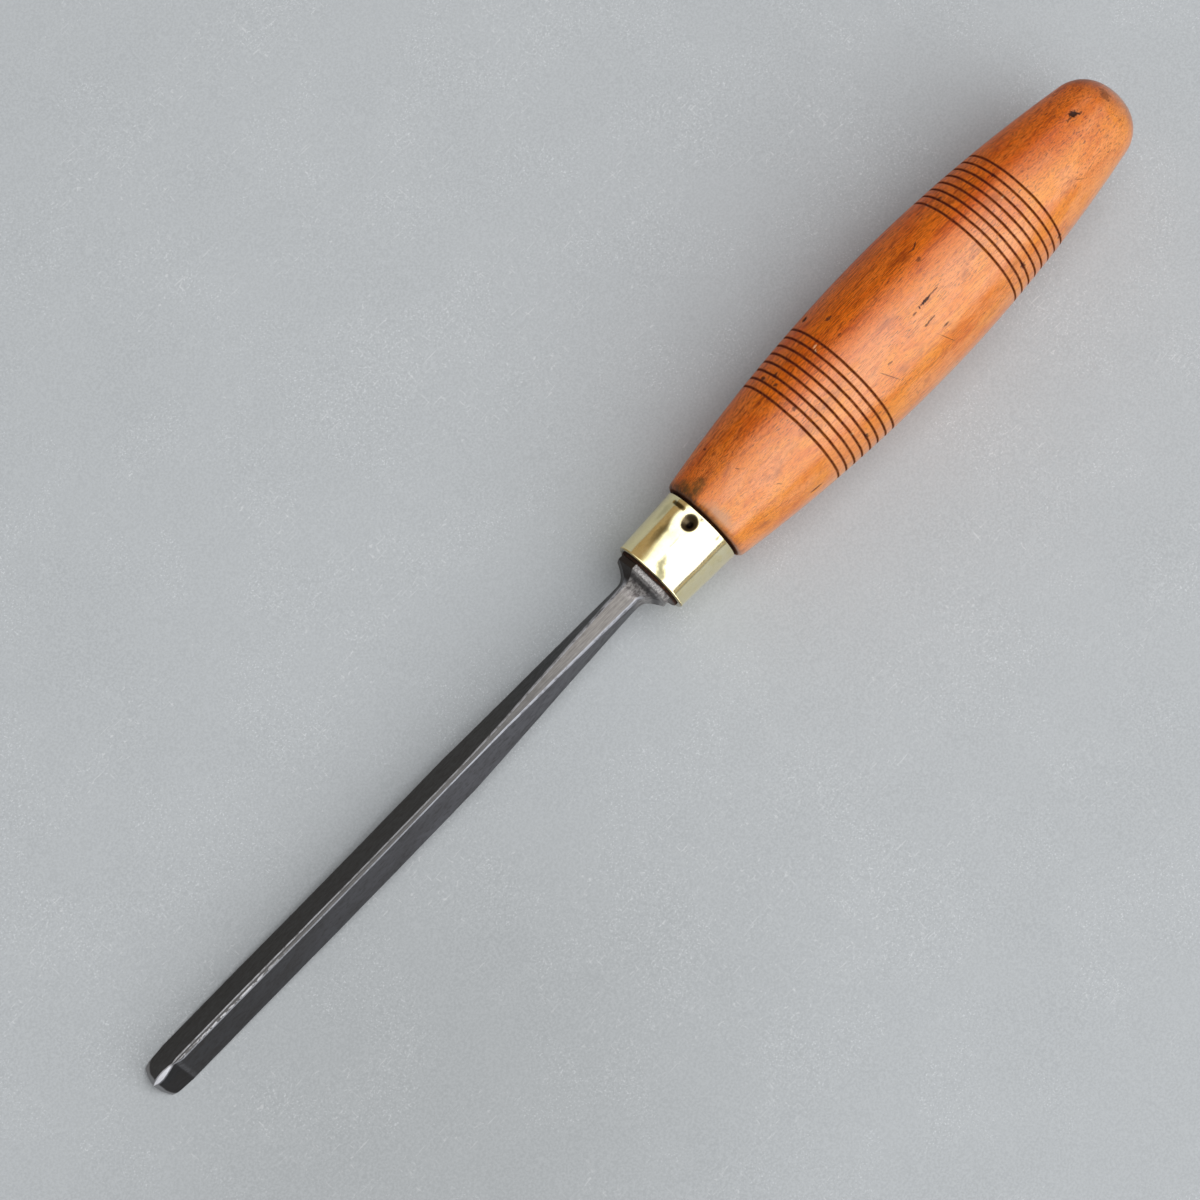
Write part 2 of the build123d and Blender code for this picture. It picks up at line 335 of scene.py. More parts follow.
# Marks in the wood: place along the axis, degrees round from the top towards +Y, half length
# along the grain, half width across it, depth, and how far the mark is turned off the grain.
MARKS = (
    (249.2, 17.8, 0.75, 0.8, 0.32, 0),
    (249.9, 20.5, 0.5, 0.35, 0.12, -40),
    (247.9, 16.2, 0.8, 0.22, 0.10, -12),
    (250.5, 12.8, 0.4, 0.25, 0.08, 0),
    (256.3, 6.5, 0.7, 1.2, 0.04, 0),
    (257.2, 12.0, 0.5, 1.6, 0.03, 0),
    (202.5, -6.7, 1.15, 0.32, 0.20, 0),
    (204.9, -6.2, 1.5, 0.15, 0.10, 0),
    (199.4, -8.0, 0.6, 0.2, 0.10, 0),
    (201.2, -20.2, 1.1, 0.17, 0.13, 0),
    (199.6, -20.6, 0.5, 0.22, 0.12, 0),
    (202.5, -32.2, 0.9, 0.2, 0.13, 0),
    (189.7, -21.2, 0.7, 0.2, 0.06, 15),
    (188.0, -28.5, 2.4, 0.10, 0.08, 62),
    (201.2, -42.0, 2.6, 0.09, 0.08, 66),
    (159.3, -28.7, 0.7, 0.10, 0.06, 35),
    (155.9, 10.3, 0.5, 0.12, 0.06, 50),
    (155.1, 57.3, 0.3, 0.6, 0.12, 0),
    (164.4, -66.7, 1.6, 0.35, 0.10, 0),
    (181.3, -45.4, 1.4, 0.12, 0.0, 4),
    (182.6, -48.0, 0.9, 0.10, 0.0, -6),
    (172.2, 55.3, 0.45, 0.7, 0.14, 0),
    (172.4, 37.8, 0.5, 0.5, 0.12, 0),
    (173.9, 45.8, 0.7, 0.5, 0.12, 0),
    (171.1, 9.3, 0.45, 0.4, 0.08, 0),
    (177.8, -57.7, 0.5, 0.8, 0.14, 0),
    (186.2, 69.3, 0.7, 0.8, 0.20, 0),
    (188.4, 42.8, 0.7, 0.5, 0.12, 0),
    (187.1, 24.3, 0.5, 0.3, 0.08, 0),
    (209.4, 31.0, 1.1, 0.18, 0.14, -34),
    (208.0, 29.6, 0.55, 0.14, 0.11, 20),
    (207.6, 19.8, 0.6, 0.5, 0.08, 0),
    (220.0, 49.8, 0.6, 0.5, 0.12, 0),
    (229.6, 27.8, 0.5, 0.35, 0.10, 0),
    (221.6, -50.2, 0.7, 0.7, 0.12, 0),
    (231.5, -65.7, 0.7, 0.5, 0.12, 0),
    (241.1, -36.2, 0.9, 0.10, 0.06, 40),
    (238.0, -150.0, 1.6, 0.7, 0.18, 0),
    (186.0, 140.0, 1.9, 0.6, 0.18, 0),
    (214.0, 105.0, 1.2, 0.3, 0.12, 10),
    (165.0, -110.0, 1.5, 0.3, 0.12, 0),
    (196.0, 175.0, 1.4, 0.8, 0.15, 0),
)

# Paler chips, as in MARKS.
CHIPS = (
    (182.5, 33.3, 0.65, 0.22, 0, 0),
    (181.8, 29.3, 0.22, 0.2, 0, 0),
    (175.7, -43.7, 0.5, 0.25, 0, 0),
    (217.6, 54.8, 0.4, 0.3, 0, 0),
    (227.4, 6.8, 0.45, 0.22, 0, 0),
)
KNOCK_WIDTH = 0.25       # half width above which the wood is knocked in as well as dark
MARK_REACH = 5.0         # along the grain, of the strip in which a mark is looked for
MARK_MARGIN = 0.9        # round a mark, where its strength still counts
FAR_OFF = 9.0            # half sizes away from every mark
NO_MARK = (FAR_OFF, FAR_OFF, 0.0)


def nearest_mark(x, angle, radius):
    """The nearest mark seen from here: how many of its half lengths and half widths away it
    is, its strength, which is below 0 for a pale chip, and how deep the wood is knocked in."""
    found = NO_MARK
    least = FAR_OFF
    depth = 0.0
    for group, sign in ((MARKS, 1), (CHIPS, -1)):
        for place, degrees_round, length, width, deep, off_grain in group:
            if abs(x - place) > MARK_REACH:
                continue
            around = turn_from(radians(degrees_round), angle) * radius
            along, around = swing(x - place, around, -radians(off_grain))
            away = hypot(along / length, around / width)
            if width > KNOCK_WIDTH:
                ragged = 0.3 * noise.noise(Vector((3 * x, 3 * radius * angle, place)))
                depth += deep * (1 - smooth(0.2, 1.1, away + ragged))
            apart = max(abs(along) - length, abs(around) - width)
            if apart < least:
                least = apart
                strength = sign * (0.45 + 3 * deep) if apart < MARK_MARGIN else 0.0
                found = (clamp(along / length, -FAR_OFF, FAR_OFF),
                         clamp(around / width, -FAR_OFF, FAR_OFF), strength)
    return found, depth


def make_handle():
    """Turned handle with spigot, tang pocket, burnt rings and knocks."""
    corner, dome = butt_outline()
    shoulder = shoulder_outline()
    pocket_end = BOLSTER_BACK + TANG_LENGTH + POCKET_PAST_TANG
    pocket_root = TANG_ROOT_WIDTH / 2 + POCKET_CLEARANCE
    pocket_tip = TANG_TIP_WIDTH / 2 + POCKET_CLEARANCE
    front_break = 0.12       # of the spigot's front edge
    shoulder_step = 0.1      # where the spigot meets the shoulder
    bore_front = ferrule_radius(BOLSTER_BACK) - FERRULE_WALL - SKIN
    bore_back = ferrule_radius(SHOULDER) - FERRULE_WALL - SKIN
    dented = DIMPLE_RADIUS + DIMPLE_WALL + 0.1
    dented_steps = 16
    angles = [2 * pi * j / HANDLE_TURNS for j in range(HANDLE_TURNS)]
    rings, char_and_shade, grime_and_shade, marks = [], [], [], []

    def add(x, radius_at, darkened=0.0, grimy_and_shaded=0.0, aside=0.0):
        radii = [radius_at(angle) for angle in angles]
        rings.append([(x, r * sin(a) + aside, r * cos(a)) for r, a in zip(radii, angles)])
        char_and_shade.extend([darkened] * HANDLE_TURNS)
        grime_and_shade.extend([grimy_and_shaded] * HANDLE_TURNS)
        marks.extend([NO_MARK] * HANDLE_TURNS)

    for share in (1.0, 0.5, 0.0):
        half = mix(pocket_root, pocket_tip, share)
        add(mix(BOLSTER_BACK, pocket_end, share), lambda a: square_radius(half, a), 0, 1,
            BLADE_ASIDE)
    # On the spigot, and at the shoulder's edge below, the char and grime values paint shade where
    # the wood meets the ferrule.
    add(BOLSTER_BACK, lambda a: bore_front - front_break, 0.6, 1)
    add(BOLSTER_BACK + front_break, lambda a: bore_front, 0.8, 1)
    add(FERRULE_FRONT, lambda a: bore_front, 0.9, 1)
    for i in range(dented_steps + 1):
        x = DIMPLE_X + dented * (2 * i / dented_steps - 1)
        add(x, lambda a: ferrule_inside(x, a) - SKIN, 1, 1)
    add(SHOULDER - shoulder_step, lambda a: bore_back, 1, 1)
    add(SHOULDER, lambda a: bore_back + shoulder_step, 1, 1)
    for x, r in shoulder[:-1]:
        add(x, lambda a: r, 0.9 * (1 - smooth(0.0, 0.2, x - SHOULDER)),
            0.5 * (1 - smooth(0.1, 0.5, x - SHOULDER)))
    for x in barrel_places(shoulder[-1][0], corner[0][0]):
        ring = []
        base = barrel_radius(x)
        for angle in angles:
            depth, darkened = ring_depth(x, angle)
            mark, knocked = nearest_mark(x, angle, base)
            uneven = unevenness(on_round(x, base, angle), 6.0)
            r = base - depth - knocked - SKIN * (0.3 + 0.7 * uneven)
            ring.append(on_round(x, r, angle))
            char_and_shade.append(darkened)
            grime_and_shade.append(0.0)
            marks.append(mark)
        rings.append(ring)
    for x, r in corner + dome:
        add(x, lambda a: r - nearest_mark(x, a, max(r, 1.0))[1])
        marks[-HANDLE_TURNS:] = [nearest_mark(x, a, max(r, 1.0))[0] for a in angles]
    piece = ring_piece("handle_turned", rings, {"char_and_shade": char_and_shade, "grime_and_shade": grime_and_shade},
                       (pocket_end, BLADE_ASIDE, 0), (BUTT, 0, 0))
    marks += [NO_MARK] * (len(piece.data.vertices) - len(marks))
    layer = piece.data.attributes.new("mark", "FLOAT_VECTOR", "POINT")
    layer.data.foreach_set("vector", [value for mark in marks for value in mark])
    return piece


# Ferrule

FERRULE_TURNS = 480
FERRULE_START = -pi / 3  # where each ring's first point is, well away from dimple and nick


def ferrule_radius(x):
    return mix(FERRULE_FRONT_RADIUS, FERRULE_BACK_RADIUS, (x - FERRULE_FRONT) / FERRULE_LENGTH)


DISH_RADIUS = 4.2        # metal drawn in round the dimple
DISH_DEPTH = 0.42
LIP_RADIUS = 1.72        # where the dimple's soft edge ends
HOLE_RADIUS = 1.1        # of the darkest part, which is off the centre
HOLE_OFF = 0.18
NICK_X = FERRULE_BACK - 1.35
NICK_TURN = radians(40)
NICK_LENGTH = 3.2        # round the ferrule
NICK_WIDTH = 0.95
NICK_DEPTH = 0.1
FERRULE_WAVE = 0.08      # unevenness of the drawn tube

# Stains on the brass: place from the ferrule's front, degrees round from the top towards +Y,
# half length along the axis, half width round it, degrees turned off the axis, strength.
STAIN_REACH = 2.0        # above and below the surface
STAINS = (
    (2.9, 1.0, 2.2, 1.0, 15, 0.9),
    (1.5, -6.0, 2.4, 1.3, 50, 0.95),
    (0.4, -12.0, 1.3, 1.4, 40, 0.8),
    (7.0, 31.0, 4.8, 1.2, 0, 0.72),
    (10.5, 52.0, 3.6, 1.0, 0, 0.35),
    (6.5, 6.0, 3.0, 0.25, 6, 0.35),
    (13.3, -29.0, 1.2, 0.5, 0, 0.8),
    (6.0, 120.0, 3.0, 0.8, 20, 0.6),
    (8.0, -140.0, 2.0, 1.2, -30, 0.6),
)

# Shallow dents in the brass: place from the ferrule's front, degrees round from the top
# towards +Y, size along the axis and round it, depth.
DENTS = (
    (2.6, 4.0, 2.2, 1.1, 0.08),
    (1.2, -4.0, 1.5, 1.3, 0.06),
    (1.6, 26.0, 1.8, 2.4, 0.16),
    (7.5, 18.0, 3.6, 1.6, 0.12),
    (10.2, 24.0, 1.6, 1.4, 0.10),
    (5.0, -120.0, 2.5, 2.5, 0.07),
    (9.0, 150.0, 3.0, 2.5, 0.07),
)


def from_dimple(x, angle):
    """Distance from the dimple's centre, over the ferrule's surface."""
    return hypot(x - DIMPLE_X, turn_from(DIMPLE_TURN, angle) * ferrule_radius(x))


def ferrule_outside(x, angle):
    """Radius of the punched and slightly uneven outside, and how dark it is here from the
    dimple, its hole and the nick."""
    base = ferrule_radius(x)
    away = from_dimple(x, angle)
    depth = DISH_DEPTH * (1 - smooth(0.6, DISH_RADIUS, away))
    depth += DIMPLE_DEPTH * max(0.0, 1 - (away / LIP_RADIUS) ** 2) ** 1.5
    dark = 1 - smooth(0.85 * LIP_RADIUS, 1.18 * LIP_RADIUS, away)
    off = hypot(x - DIMPLE_X + HOLE_OFF, (angle - DIMPLE_TURN) * base + HOLE_OFF)
    hole = 1 - smooth(0.5 * HOLE_RADIUS, HOLE_RADIUS, off)
    ragged = 0.12 * noise.noise(Vector((2 * x, 2 * base * angle, 0)))
    nick_x = abs(x - NICK_X) / (NICK_WIDTH / 2)
    nick_a = abs(angle - NICK_TURN) * base / (NICK_LENGTH / 2)
    nick = 1 - smooth(0.7, 1.25, (nick_x ** 3 + nick_a ** 3) ** (1 / 3) + ragged)
    depth += NICK_DEPTH * nick
    for place, degrees_round, length, width, deep in DENTS:
        along = (x - FERRULE_FRONT - place) / length
        around = turn_from(radians(degrees_round), angle) * base / width
        depth += deep * exp(-along * along - around * around)
    depth += FERRULE_WAVE * unevenness(on_round(x * 0.55, base, angle), 3.4)
    return base - depth, dark, hole, nick


def ferrule_inside(x, angle):
    """Radius of the bore, with the bulge under the dimple."""
    base = ferrule_radius(x)
    bore = base - FERRULE_WALL
    away = from_dimple(x, angle)
    ball = DIMPLE_RADIUS + DIMPLE_WALL
    if away >= ball:
        return bore
    return min(bore, base + DIMPLE_RADIUS - DIMPLE_DEPTH - sqrt(ball ** 2 - away ** 2))


def make_ferrule():
    """Tapered brass tube with its rolled rims, dimple and nick."""
    angles = [FERRULE_START + 2 * pi * j / FERRULE_TURNS for j in range(FERRULE_TURNS)]
    rim_steps = 5
    steps = 90
    rings, pit, hole, scar = [], [], [], []

    def add(x, inward, outside=True):
        ring = []
        for angle in angles:
            if outside:
                r, dark, darkest, nick = ferrule_outside(x, angle)
            else:
                r, dark, darkest, nick = ferrule_inside(x, angle), 0.0, 0.0, 0.0
            ring.append(on_round(x, r - inward, angle))
            pit.append(dark)
            hole.append(darkest)
            scar.append(nick)
        rings.append(ring)

    def add_rim(end, back, i):
        angle = pi / 2 * i / rim_steps
        add(end + back * FERRULE_RIM * (1 - sin(angle)), FERRULE_RIM * (1 - cos(angle)))

    for i in reversed(range(rim_steps)):
        add_rim(FERRULE_FRONT, 1, i)
    for i in range(steps + 1):
        add(mix(FERRULE_FRONT + FERRULE_RIM, FERRULE_BACK - FERRULE_RIM, i / steps), 0.0)
    for i in range(1, rim_steps + 1):
        add_rim(FERRULE_BACK, -1, i)
    for i in range(steps // 2 + 1):
        add(mix(FERRULE_BACK, FERRULE_FRONT, i / (steps // 2)), 0.0, False)
    return ring_piece("ferrule_drawn", rings, {"pit": pit, "hole": hole, "scar": scar})


# Blade

FLANK_STEPS = 18
LIP_STEPS = 3            # across the lower edge of a wing
JUST_SHORT = 0.999       # of a place where points would fall together

# The ground nose of the keel: place, height of its face, half width of its face, and how far
# it is ground off the middle, towards +Y.
NOSE = ((0.0, 1.35, 0.02, 0.0), (0.5, 1.65, 0.33, 0.0), (1.2, 2.06, 0.52, -0.03),
        (2.3, 2.6, 0.62, 0.0), (3.5, 3.0, 0.52, 0.08), (4.5, 3.22, 0.34, 0.15),
        (5.5, 3.3, 0.14, 0.2), (6.1, 3.3, 0.25, 0.16), (6.8, 3.3, 0.42, 0.06),
        (7.5, 3.3, 0.49, 0.0))

# How far the blade lies off the handle's axis, towards +Y: it is a little bowed.
BOW = ((0.0, 0.73), (22.0, 0.64), (40.0, 0.45), (57.0, 0.33), (84.0, 0.30), (95.0, 0.39),
       (107.0, 0.54), (122.0, 0.65), (126.0, 0.63), (BOLSTER_BACK, BLADE_ASIDE))

# Metal outside the channel's face: a steep hone, then a shallow bevel.
BEVELS = ((0.0, 0.0), (HONE_LENGTH, HONE_DEPTH), (BEVEL_LENGTH, VEE_WALL))


def between(table, x, column=1):
    """Value at x, on straight lines between the rows of a table."""
    for low, high in zip(table, table[1:]):
        if x <= high[0]:
            return mix(low[column], high[column], clamp((x - low[0]) / (high[0] - low[0])))
    return table[-1][column]


def shank(x):
    """Top half width, top, base half width, base and edge break of the bar at x."""
    even = KEEL_EVEN_LENGTH / STEM_LENGTH
    vee = (KEEL_WIDTH / 2, KEEL_RISE, VEE_WIDTH / 2, WING_BASE, EDGE_BREAK)
    stem = (STEM_TOP_WIDTH / 2, STEM_DEPTH / 2, STEM_BASE_WIDTH / 2, -STEM_DEPTH / 2,
            STEM_EDGE_BREAK)
    share = clamp((x - VEE_LENGTH) / STEM_LENGTH)
    values = [mix(a, b, share) for a, b in zip(vee, stem)]
    values[0] = between(((0, vee[0]), (even, KEEL_EVEN_WIDTH / 2), (1, stem[0])), share)
    return values


def towards_rim(corners, side, chamfer, share):
    """The corners of one side, moved by this share of the way to the bolster's octagon."""
    half = BOLSTER_WIDTH / 2
    low = half - BOLSTER_CHAMFER_BASE
    rim = ((half - chamfer, half), (half, half - chamfer), (half, -low), (low, -half))
    return [(mix(y, side * rim_y, share), mix(z, rim_z, share))
            for (y, z), (rim_y, rim_z) in zip(corners, rim)]


def corner_points(x):
    """Four corners down each side of the section at x, right then left, as (y, z)."""
    top_half, top, base_half, base, edge = shank(x)
    if x < NOSE[-1][0]:
        apex = CHANNEL_TOP + between(BEVELS, x) / sin(HALF_ANGLE)
        heel = clamp(1 - x / WING_CORNER_RADIUS)
        base = WING_BASE + arc_drop(WING_CORNER_RADIUS, WING_CORNER_RADIUS * heel * JUST_SHORT)
        top = between(NOSE, x)
        top_half = between(NOSE, x, 2)
        base_half = (apex - base) * tan(HALF_ANGLE)
        edge = min(edge, 0.4 * top_half)
    lean = (base_half - top_half) / (top - base)
    right = [(-top_half + edge, top), (-top_half - lean * edge, top - edge),
             (-base_half + lean * edge, base + edge), (-base_half + edge, base)]
    left = [(-y, z) for y, z in right]
    off = between(NOSE, x, 3)
    for side in (right, left):
        side[:2] = [(y + off, z) for y, z in side[:2]]
    if x > STEM_END:
        out = clamp((x - STEM_END) / FLARE_LENGTH) ** FLARE_POWER
        right = towards_rim(right, -1, BOLSTER_CHAMFER_RIGHT, out)
        left = towards_rim(left, 1, BOLSTER_CHAMFER_LEFT, out)
    return right, left


def outer_side(corners, middle, softness):
    """Points from the top's middle down one side to the base corner, with eased corners."""
    top, upper, lower, base = (Vector(c) for c in corners)
    line = [Vector(middle), top, upper, lower, base, Vector((middle[0], base.y))]
    points = [line[0], line[0].lerp(line[1], 0.5)]

    def eased(here, other):
        """Where the easing of the corner here begins, on the way to the other."""
        way = other - here
        return here + way.normalized() * min(softness, 0.4 * way.length)

    for i in range(1, 5):
        before, here, after = line[i - 1:i + 2]
        start, end = eased(here, before), eased(here, after)
        if i == 3:
            upper_end = points[-1]
            points += [upper_end.lerp(start, (j / FLANK_STEPS) ** 1.3)
                       for j in range(1, FLANK_STEPS)]
        points += [start, (start + end) / 4 + here / 2, end]
    return points


def channel_top(x):
    """Apex of the channel at x. It falls below the wings' base where it has run out."""
    full_end = VEE_LENGTH + CHANNEL_PAST_VEE
    share = max(0.0, (x - full_end) / CHANNEL_RUN_OUT)
    return mix(CHANNEL_TOP, WING_BASE, share)


def inner_side(x, outer_base, count):
    """Points from the base corner in to the channel's apex, one for each outer point."""
    side = 1 if outer_base[0] > 0 else -1
    base_y, base_z = abs(outer_base[0]), outer_base[1]
    apex = channel_top(x)
    mouth = clamp((apex - base_z) * tan(HALF_ANGLE), 0.3 * base_y, base_y * JUST_SHORT)
    ys = [mix(base_y, mouth, i / LIP_STEPS) for i in range(1, LIP_STEPS + 1)]
    inside = count - LIP_STEPS
    ys += [mix(mouth, 0.0, i / inside) for i in range(1, inside + 1)]
    return [(side * y, max(base_z, apex - y / tan(HALF_ANGLE))) for y in ys]


def blade_section(x):
    """Closed section at x, with its masks: top face, rubbed edges and honed strip."""
    right, left = corner_points(x)
    softness = mix(0.05, 0.14, smooth(VEE_LENGTH, STEM_END, x))
    middle = ((right[0][0] + left[0][0]) / 2, right[0][1])
    right_side = outer_side(right, middle, softness)
    left_side = outer_side(left, middle, softness)
    count = len(right_side) - 1
    inner_right = inner_side(x, right_side[-1], count)
    inner_left = inner_side(x, left_side[-1], count)
    ring = [tuple(p) for p in left_side[::-1] + right_side[1:]]
    ring += inner_right + inner_left[::-1][1:]
    top = len(left_side) - 1
    masks = []
    for i in range(len(ring)):
        away = abs(i - top)
        inside = i > 2 * top + LIP_STEPS
        face = 1.0 if away <= 2 else 0.0
        if i < top:
            rub = mix(1.0, 0.7, smooth(30, 60, x))
        else:
            rub = mix(0.42, 0.68, smooth(60, 85, x))
        edge = rub if 3 <= away <= 6 else 0.0
        heel = max(0.0, 1 - ring[i][1] / WING_BASE) if ring[i][1] < 0 else 1.0
        reach = HONE_LENGTH + 0.25 + 2.2 * (1 - sqrt(clamp(heel / 0.9)))
        if i > top:
            reach -= 0.75 * (1 - heel) + 0.1
        hone = 0.0 if inside or away <= 2 else 1 - smooth(reach - 0.3, reach, x)
        masks.append((face, edge, hone))
    return ring, masks


def blade_places():
    """Places along the blade, close together where its shape changes quickly."""
    places = []
    for start, end, step in ((0.01, 1.0, 0.07), (1.0, NOSE[-1][0], 0.14),
                             (NOSE[-1][0], 40, 0.4), (40, VEE_LENGTH, 0.6),
                             (VEE_LENGTH, STEM_END, 0.5), (STEM_END, RIM_FRONT, 0.12),
                             (RIM_FRONT, BOLSTER_BACK, 0.25)):
        count = round((end - start) / step)
        places += [mix(start, end, i / count) for i in range(count)]
    return places + [BOLSTER_BACK]


def forge_marks(x, y, z):
    """How far the dark forged skin sinks below the drawn surface here."""
    wave = 0.05 * unevenness((x / 3, y, z), 2.6)
    pit = 0.03 * max(0.0, noise.noise(Vector((x / 1.2, y * 1.6, z * 1.6))))
    flare = smooth(STEM_END - 2, STEM_END + 1, x) * (1 - smooth(RIM_FRONT - 0.6, RIM_FRONT, x))
    hammered = 0.14 * unevenness((x, y, z), 1.7) * flare
    return (wave + pit) * smooth(1.5, 8, x) * (1 - 0.4 * flare) + hammered


def make_blade():
    """Forged V, stem, bolster and tang."""
    rings, masks = [], []
    for x in blade_places():
        section, values = blade_section(x)
        aside = between(BOW, x)
        ring = []
        for i, (y, z) in enumerate(section):
            before = Vector(section[i - 1])
            after = Vector(section[(i + 1) % len(section)])
            tangent = (after - before).normalized()
            sink = forge_marks(x, y, z)
            ring.append((x, y + tangent.y * sink + aside, z - tangent.x * sink))
        rings.append(ring)
        masks += values
    last = rings[-1]
    for share in (0.0, 0.5, 1.0):
        half = mix(TANG_ROOT_WIDTH, TANG_TIP_WIDTH, share) / 2
        x = BOLSTER_BACK + TANG_LENGTH * share
        ring = []
        for _, y, z in last:
            angle = atan2(z, y - BLADE_ASIDE)
            r = square_radius(half, angle)
            ring.append((x, r * cos(angle) + BLADE_ASIDE, r * sin(angle)))
        rings.append(ring)
    return cap_blade(rings, masks, (BOLSTER_BACK + TANG_LENGTH, BLADE_ASIDE, 0))


def cap_blade(rings, masks, end):
    """Blade, closed by a fan at the tang and by a narrow strip along the cutting edge."""
    count = len(rings[0])
    points = [p for ring in rings for p in ring] + [end]
    faces = wall_faces(rings)
    last = (len(rings) - 1) * count
    faces += [(len(points) - 1, last + j, last + (j + 1) % count) for j in range(count)]
    outer = count // 2
    faces.append((0, count - 1, 1))
    faces += [(i, count - i, count - i - 1, i + 1) for i in range(1, outer - 1)]
    faces.append((outer - 1, outer + 1, outer))
    return make_piece("blade_forged", points, faces,
                      dict(zip(("face", "edge", "hone"), zip(*masks))))


# Materials

class Shader:
    """A node material, with short calls for the nodes that it needs."""

    def __init__(self, name):
        self.material = bpy.data.materials.new(name)
        self.material.use_nodes = True
        self.tree = self.material.node_tree
        self.surface = self.tree.nodes["Principled BSDF"]

    def join(self, value, socket):
        """Links a socket to this one, or sets this one to a plain value."""
        if isinstance(value, bpy.types.NodeSocket):
            self.tree.links.new(value, socket)
        else:
            socket.default_value = value

    def set(self, name, value):
        self.join(value, self.surface.inputs[name])

    def node(self, kind, inputs, **settings):
        made = self.tree.nodes.new("ShaderNode" + kind)
        for key, value in settings.items():
            setattr(made, key, value)
        for key, value in inputs.items():
            self.join(value, made.inputs[key])
        return made

    def place(self, scale=(1, 1, 1), shift=(0, 0, 0)):
        """Position in the tool's own axes, in millimetres, stretched by scale."""
        back = LAY.inverted()
        lay = self.node("Mapping", {
            "Vector": self.node("TexCoord", {}).outputs["Object"], "Scale": (1 / MM,) * 3,
            "Location": back.to_translation(), "Rotation": back.to_euler()})
        return self.node("Mapping", {"Vector": lay.outputs["Vector"], "Location": shift,
                                     "Scale": scale}).outputs["Vector"]

    def axes(self):
        """The tool's own x, y and z here, in millimetres."""
        return self.node("SeparateXYZ", {0: self.place()}).outputs

    def noise(self, along, across, shift=(0, 0, 0), detail=2, rough=0.5, bend=0, up=None):
        """Noise of about so many features per millimetre along the tool and across it."""
        scale = (along, across, across if up is None else up)
        return self.node("TexNoise", {
            "Vector": self.place(scale, shift), "Scale": 1.0, "Detail": detail,
            "Roughness": rough, "Distortion": bend}).outputs["Fac"]

    def band(self, value, low, high, start=0.0, end=1.0):
        """Goes smoothly from start, where the value is low, to end, where it is high."""
        return self.node("MapRange", {
            "Value": value, "From Min": low, "From Max": high, "To Min": start,
            "To Max": end}, interpolation_type="SMOOTHSTEP").outputs["Result"]

    def math(self, kind, a, b=0.0, limit=False):
        return self.node("Math", {0: a, 1: b}, operation=kind, use_clamp=limit).outputs[0]

    def plus(self, a, b):
        return self.math("ADD", a, b)

    def times(self, product, *factors, limit=False):
        for factor in factors:
            product = self.math("MULTIPLY", product, factor, limit)
        return product

    def blend(self, share, a, b, kind="MIX"):
        """Mixes two colours. Each is a socket or an (r, g, b)."""
        a, b = ((*c, 1.0) if isinstance(c, tuple) else c for c in (a, b))
        return self.node("Mix", {"Factor": share, "A": a, "B": b}, data_type="RGBA",
                         blend_type=kind).outputs["Result"]

    def paint(self, share, colour, kind="MIX"):
        """Lays a colour over what is painted so far."""
        self.colour = self.blend(share, self.colour, colour, kind)

    def spot(self, vector, centre, size, turn=(0, 0, 0), core=0.55):
        """1 in the core of an ellipsoid of these half sizes, and 0 outside."""
        local = self.node("Mapping", {"Vector": vector, "Location": centre, "Rotation": turn,
                                      "Scale": size}, vector_type="TEXTURE")
        away = self.node("VectorMath", {0: local.outputs["Vector"]}, operation="LENGTH")
        return self.band(away.outputs["Value"], core, 1.1, 1.0, 0.0)

    def ragged(self, scale, reach):
        """The position, shaken by up to this reach so that edges drawn on it are uneven."""
        place = self.place()
        shake = self.node("TexNoise", {"Vector": place, "Scale": scale})
        off = self.node("VectorMath", {0: shake.outputs["Color"], 1: (2 * reach,) * 3,
                                       2: (-reach,) * 3}, operation="MULTIPLY_ADD")
        return self.node("VectorMath", {0: place, 1: off.outputs["Vector"]},
                         operation="ADD").outputs["Vector"]

    def mask(self, name):
        return self.node("Attribute", {}, attribute_name=name).outputs["Fac"]

    def bump(self, height, distance, strength, under=None):
        """Normal over one bump, of this distance in millimetres, on top of another."""
        inputs = {"Height": height, "Distance": distance * MM, "Strength": strength}
        if under is not None:
            inputs["Normal"] = under
        return self.node("Bump", inputs).outputs["Normal"]


def tone(red, green, blue):
    """Linear colour from the 0 to 255 values that a screen shows."""
    values = []
    for value in (red, green, blue):
        share = value / 255
        values.append(share / 12.92 if share <= 0.04045 else ((share + 0.055) / 1.055) ** 2.4)
    return tuple(values)


def handle_spot(s, vector, place, core=0.55):
    """Spot of a material on the handle's surface, from its place, degrees round and size."""
    x, degrees_round, size = place
    return s.spot(vector, on_round(x, barrel_radius(x), radians(degrees_round)), size, core=core)


# Grime and wear at the shoulder: place along the axis, degrees round from the top, half sizes.
GRIMY = ((145.8, 44.0, (3.4, 3.6, 3.6)), (148.2, 31.0, (3.2, 1.8, 2.0)))
WORN = (147.4, -12.0, (2.0, 4.6, 3.0))


